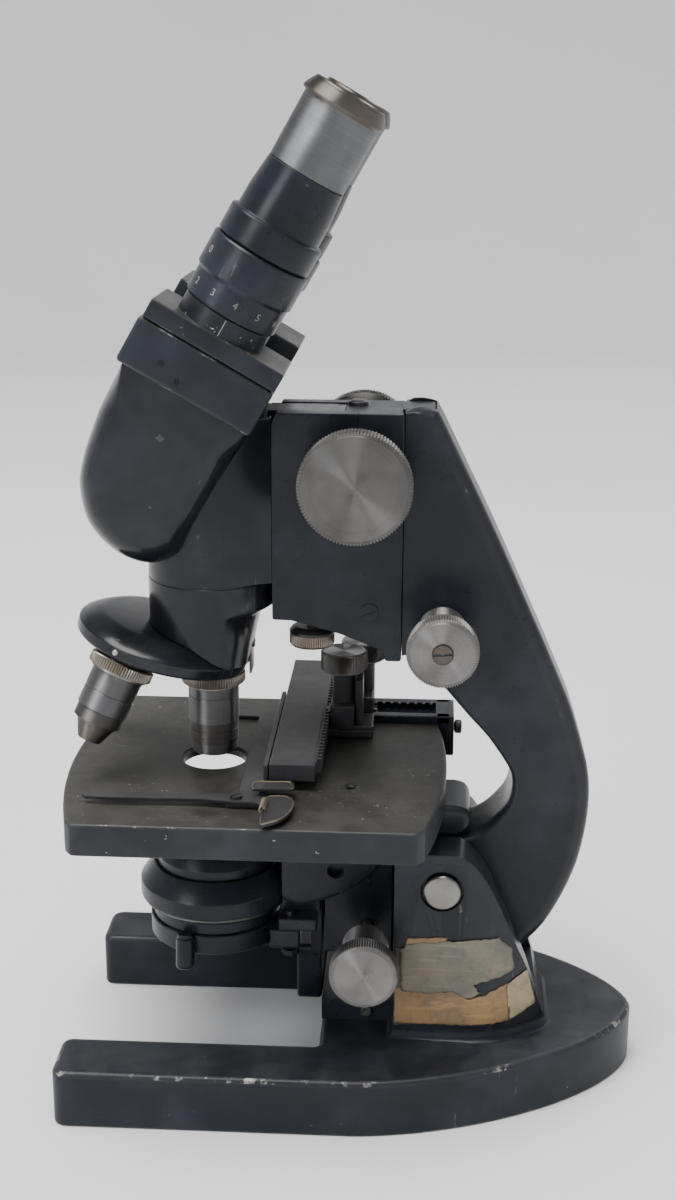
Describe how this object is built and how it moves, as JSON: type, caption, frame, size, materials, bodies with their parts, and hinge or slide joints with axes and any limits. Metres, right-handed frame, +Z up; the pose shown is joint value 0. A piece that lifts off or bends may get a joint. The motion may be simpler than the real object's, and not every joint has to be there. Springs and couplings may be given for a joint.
{
  "type": "microscope",
  "caption": "Laboratory microscope with inclined binocular head, revolving nosepiece, mechanical stage, focusing condenser and tilting limb on a horseshoe foot.",
  "frame": {"origin": "on the flat underside of the foot, under the rear of the pillar's front step, in the mid-plane", "axes": "+Z up, +X from the specimen side towards the rear of the limb, +Y away from the viewer of the picture, to the side that carries the mechanical stage controls"},
  "size_m": [0.21, 0.1496, 0.3584],
  "materials": {
    "black_enamel": "satin black enamel, chipped and worn to metal along edges",
    "stage_black": "matte dusty black, worn grey",
    "nickel": "satin turned nickel",
    "steel": "satin",
    "brass": "satin, tarnished",
    "glass": "gloss",
    "black_plastic": "gloss",
    "tape_green": "matte, ragged and mottled",
    "tape_tan": "matte, aged",
    "tape_cream": "matte, aged"
  },
  "bodies": {
    "base": {"horseshoe_foot": "black_enamel", "pillar_yoke": "black_enamel", "pivot_pin": "steel", "pivot_cap_near": "nickel", "pivot_cap_far": "nickel", "pillar_bolt_front": "steel", "pillar_bolt_rear": "steel"},
    "limb": {"limb_arm": "black_enamel", "stage_bracket": "black_enamel", "substage_guide": "black_enamel", "stage_plate": "stage_black", "slide_mount": "stage_black"},
    "mount_clamp": {"mount_clamp_screw": "black_plastic"},
    "fine_knobs": {"fine_shaft": "steel", "fine_knob_near": "nickel", "fine_knob_far": "nickel"},
    "fine_slide": {"focus_housing": "black_enamel"},
    "coarse_knobs": {"coarse_shaft": "steel", "coarse_knob_near": "nickel", "coarse_knob_far": "nickel"},
    "body_clamp": {"body_clamp_knob": "black_plastic"},
    "body_tube": {"nose_barrel": "black_enamel", "coarse_rack": "brass", "nosepiece_holder": "black_enamel", "detent_spring": "nickel", "prism_housing": "black_enamel", "head_block": "black_enamel", "beam_splitter_prism": "glass", "nosepiece_pivot": "steel"},
    "nosepiece": {"revolving_turret": "black_enamel", "objective_low": "nickel", "objective_high": "nickel", "objective_oil": "nickel"},
    "cross_carriage": {"carriage_block": "stage_black"},
    "cross_control": {"crosswise_knob": "nickel"},
    "long_control": {"lengthwise_knob": "nickel"},
    "slide_bar": {"cross_bar": "stage_black", "slide_holder": "stage_black", "finger_stud": "brass"},
    "finger": {"holder_finger": "stage_black"},
    "substage": {"substage_slide": "black_enamel", "substage_rack": "brass", "condenser_body": "nickel", "condenser_lens": "glass", "iris_diaphragm": "steel", "filter_pivot": "steel"},
    "filter_arm": {"filter_carrier": "black_enamel"},
    "substage_control": {"substage_shaft": "steel", "substage_knob": "nickel"},
    "tube_near": {"tube_slide_near": "black_enamel"},
    "ring_near": {"diopter_ring_near": "black_enamel"},
    "drawtube_near": {"eyepiece_tube_near": "black_enamel"},
    "ocular_near": {"eyepiece_near": "nickel", "eye_lens_near": "glass"},
    "tube_far": {"tube_slide_far": "black_enamel"},
    "ring_far": {"diopter_ring_far": "black_enamel"},
    "drawtube_far": {"eyepiece_tube_far": "black_enamel"},
    "ocular_far": {"eyepiece_far": "nickel", "eye_lens_far": "glass"}
  },
  "joints": [
    {"name": "inclination", "type": "hinge", "parent": "base", "child": "limb", "pos_m": [0.0315, 0, 0.0807], "axis": [0, 1, 0], "range_deg": [0, 60]},
    {"name": "mount_clamp_turn", "type": "hinge", "parent": "limb", "child": "mount_clamp", "pos_m": [0.0305, 0.048, 0.1135], "axis": [1, 0, 0], "range_deg": [0, 360]},
    {"name": "fine_knob_turn", "type": "hinge", "parent": "limb", "child": "fine_knobs", "pos_m": [0.0296, 0, 0.1738], "axis": [0, 1, 0], "range_deg": [-1802, 1802]},
    {"name": "fine_focus", "type": "slide", "parent": "limb", "child": "fine_slide", "axis": [0, 0, 1], "range_m": [-0.001, 0.001]},
    {"name": "coarse_focus", "type": "slide", "parent": "fine_slide", "child": "body_tube", "axis": [0, 0, 1], "range_m": [0, 0.045]},
    {"name": "coarse_knob_turn", "type": "hinge", "parent": "fine_slide", "child": "coarse_knobs", "pos_m": [-0.0003, 0, 0.229], "axis": [0, 1, 0], "range_deg": [-5, 440]},
    {"name": "body_clamp_turn", "type": "hinge", "parent": "fine_slide", "child": "body_clamp", "pos_m": [-0.017, 0, 0.168], "axis": [0, 0, -1], "range_deg": [0, 360]},
    {"name": "nosepiece_turn", "type": "hinge", "parent": "body_tube", "child": "nosepiece", "pos_m": [-0.0716, 0, 0.1609], "axis": [-0.2756, 0, -0.9613], "continuous": true},
    {"name": "cross_travel", "type": "slide", "parent": "limb", "child": "cross_carriage", "axis": [1, 0, 0], "range_m": [-0.006, 0.02]},
    {"name": "long_knob_turn", "type": "hinge", "parent": "cross_carriage", "child": "long_control", "pos_m": [0, 0.048, 0.14], "axis": [0, 0, 1], "range_deg": [-75, 240]},
    {"name": "bar_travel", "type": "slide", "parent": "cross_carriage", "child": "slide_bar", "axis": [0, 1, 0], "range_m": [-0.025, 0.025]},
    {"name": "cross_knob_turn", "type": "hinge", "parent": "cross_carriage", "child": "cross_control", "pos_m": [-0.00685, 0.028, 0.14], "axis": [0, 0, 1], "range_deg": [-250, 250]},
    {"name": "finger_open", "type": "hinge", "parent": "slide_bar", "child": "finger", "pos_m": [-0.04, -0.0442, 0.12], "axis": [0, 0, 1], "range_deg": [0, 30], "stiffness_Nm_per_rad": 0.02, "springref_deg": -17.19},
    {"name": "substage_focus", "type": "slide", "parent": "limb", "child": "substage", "axis": [0, 0, 1], "range_m": [-0.019, 0.0015]},
    {"name": "substage_knob_turn", "type": "hinge", "parent": "limb", "child": "substage_control", "pos_m": [0.0044, 0, 0.056], "axis": [0, 1, 0], "range_deg": [-225, 25]},
    {"name": "filter_swing", "type": "hinge", "parent": "substage", "child": "filter_arm", "pos_m": [-0.024, -0.016, 0.052], "axis": [0, 0, 1], "range_deg": [0, 70]},
    {"name": "pupil_distance_near", "type": "slide", "parent": "body_tube", "child": "tube_near", "axis": [0, 1, 0], "range_m": [-0.004, 0.004]},
    {"name": "diopter_ring_near_turn", "type": "hinge", "parent": "tube_near", "child": "ring_near", "pos_m": [-0.0355, -0.031, 0.29505], "axis": [0.5, 0, 0.866], "range_deg": [-2, 302]},
    {"name": "drawtube_near_rise", "type": "slide", "parent": "tube_near", "child": "drawtube_near", "axis": [0.5, 0, 0.866], "range_m": [0, 0.005]},
    {"name": "ocular_near_lift", "type": "slide", "parent": "drawtube_near", "child": "ocular_near", "axis": [0.5, 0, 0.866], "range_m": [0, 0.04]},
    {"name": "pupil_distance_far", "type": "slide", "parent": "body_tube", "child": "tube_far", "axis": [0, 1, 0], "range_m": [-0.004, 0.004]},
    {"name": "diopter_ring_far_turn", "type": "hinge", "parent": "tube_far", "child": "ring_far", "pos_m": [-0.0355, 0.031, 0.29505], "axis": [0.5, 0, 0.866], "range_deg": [-2, 302]},
    {"name": "drawtube_far_rise", "type": "slide", "parent": "tube_far", "child": "drawtube_far", "axis": [0.5, 0, 0.866], "range_m": [0, 0.005]},
    {"name": "ocular_far_lift", "type": "slide", "parent": "drawtube_far", "child": "ocular_far", "axis": [0.5, 0, 0.866], "range_m": [0, 0.04]}
  ],
  "couplings": [
    {"joint": "fine_knob_turn", "follows": "fine_focus", "rad_per_m": 31416},
    {"joint": "coarse_knob_turn", "follows": "coarse_focus", "rad_per_m": 166.67},
    {"joint": "long_knob_turn", "follows": "cross_travel", "rad_per_m": 200},
    {"joint": "cross_knob_turn", "follows": "bar_travel", "rad_per_m": -166.67},
    {"joint": "substage_knob_turn", "follows": "substage_focus", "rad_per_m": 200},
    {"joint": "pupil_distance_far", "follows": "pupil_distance_near", "ratio": -1},
    {"joint": "diopter_ring_near_turn", "follows": "drawtube_near_rise", "rad_per_m": 1047},
    {"joint": "diopter_ring_far_turn", "follows": "drawtube_far_rise", "rad_per_m": 1047}
  ]
}
